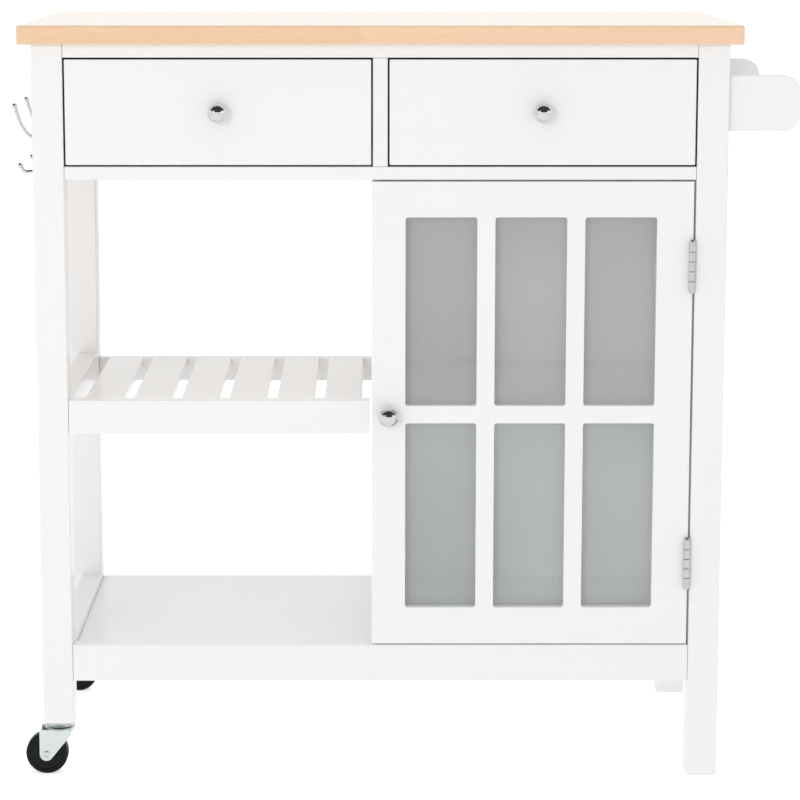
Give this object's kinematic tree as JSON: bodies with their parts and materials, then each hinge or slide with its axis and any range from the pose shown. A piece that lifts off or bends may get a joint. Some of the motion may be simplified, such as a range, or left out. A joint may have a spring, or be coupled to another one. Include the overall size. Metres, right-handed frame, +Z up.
{
  "type": "kitchen island cart",
  "caption": "White wooden kitchen island cart with a natural wood top, drawers over an open slatted bay and a glazed cabinet, coat hooks, a towel rack, and casters on its left legs.",
  "frame": {"origin": "on the floor, under the middle of the box around the whole cart, hooks and towel rack included", "axes": "+Z up; the front with drawers and door faces -Y; the open bay, hooks and casters are on the -X side, the cabinet and towel rack on the +X side"},
  "size_m": [0.916, 0.42, 0.89],
  "materials": {
    "white_paint": "satin white lacquer on wood and board, with faintly softened edges",
    "worktop_wood": "clear satin varnish on edge-glued light hardwood staves",
    "drawer_wood": "plain sanded board",
    "chrome": "polished chrome plate",
    "hinge_nickel": "satin nickel plate",
    "runner_steel": "white powder coat",
    "caster_zinc": "bright zinc plate",
    "tyre_rubber": "matt black",
    "door_glass": "clear float glass with a faint grey-green tint"
  },
  "bodies": {
    "frame": {"worktop": "worktop_wood", "leg_front_left": "white_paint", "leg_front_right": "white_paint", "leg_rear_left": "white_paint", "leg_rear_right": "white_paint", "top_rail_front": "white_paint", "drawer_rail_front": "white_paint", "apron_front": "white_paint", "apron_rear": "white_paint", "apron_left": "white_paint", "apron_right": "white_paint", "back_panel_upper": "white_paint", "side_panel_left": "white_paint", "side_panel_right": "white_paint", "drawer_partition": "white_paint", "bottom_board": "white_paint", "cabinet_divider": "white_paint", "cabinet_back": "white_paint", "cabinet_shelf": "white_paint", "shelf_rail_front": "white_paint", "shelf_rail_rear": "white_paint", "shelf_rail_left": "white_paint", "slat_1": "white_paint", "slat_2": "white_paint", "slat_3": "white_paint", "slat_4": "white_paint", "slat_5": "white_paint", "slat_6": "white_paint", "drawer_left_runner_outer": "runner_steel", "drawer_left_runner_inner": "runner_steel", "drawer_right_runner_outer": "runner_steel", "drawer_right_runner_inner": "runner_steel", "hinge_upper_frame_leaf": "hinge_nickel", "hinge_lower_frame_leaf": "hinge_nickel", "caster_front_plate": "caster_zinc", "caster_rear_plate": "caster_zinc", "coat_hook_1": "chrome", "coat_hook_2": "chrome", "coat_hook_3": "chrome", "towel_bracket_front": "white_paint", "towel_bracket_rear": "white_paint", "towel_bar": "white_paint"},
    "drawer_left": {"drawer_left_front": "white_paint", "drawer_left_wrap": "drawer_wood", "drawer_left_bottom": "drawer_wood", "drawer_left_knob": "chrome"},
    "drawer_right": {"drawer_right_front": "white_paint", "drawer_right_wrap": "drawer_wood", "drawer_right_bottom": "drawer_wood", "drawer_right_knob": "chrome"},
    "door": {"door_frame": "white_paint", "door_glass": "door_glass", "door_knob": "chrome", "hinge_upper_door_leaf": "hinge_nickel", "hinge_lower_door_leaf": "hinge_nickel"},
    "caster_front": {"caster_front_fork": "caster_zinc"},
    "caster_front_roller": {"caster_front_wheel": "tyre_rubber"},
    "caster_rear": {"caster_rear_fork": "caster_zinc"},
    "caster_rear_roller": {"caster_rear_wheel": "tyre_rubber"}
  },
  "joints": [
    {"name": "drawer_left_slide", "type": "slide", "parent": "frame", "child": "drawer_left", "axis": [0, -1, 0], "range_m": [0, 0.24]},
    {"name": "drawer_right_slide", "type": "slide", "parent": "frame", "child": "drawer_right", "axis": [0, -1, 0], "range_m": [0, 0.24]},
    {"name": "door_hinge", "type": "hinge", "parent": "frame", "child": "door", "pos_m": [0.334, -0.19, 0.437], "axis": [0, 0, 1], "range_deg": [0, 180]},
    {"name": "caster_front_swivel", "type": "hinge", "parent": "frame", "child": "caster_front", "pos_m": [-0.408, -0.168, 0.057], "axis": [0, 0, 1], "continuous": true},
    {"name": "caster_front_roll", "type": "hinge", "parent": "caster_front", "child": "caster_front_roller", "pos_m": [-0.424, -0.168, 0.025], "axis": [0, 1, 0], "continuous": true},
    {"name": "caster_rear_swivel", "type": "hinge", "parent": "frame", "child": "caster_rear", "pos_m": [-0.408, 0.178, 0.057], "axis": [0, 0, 1], "continuous": true},
    {"name": "caster_rear_roll", "type": "hinge", "parent": "caster_rear", "child": "caster_rear_roller", "pos_m": [-0.424, 0.178, 0.025], "axis": [0, 1, 0], "continuous": true}
  ]
}
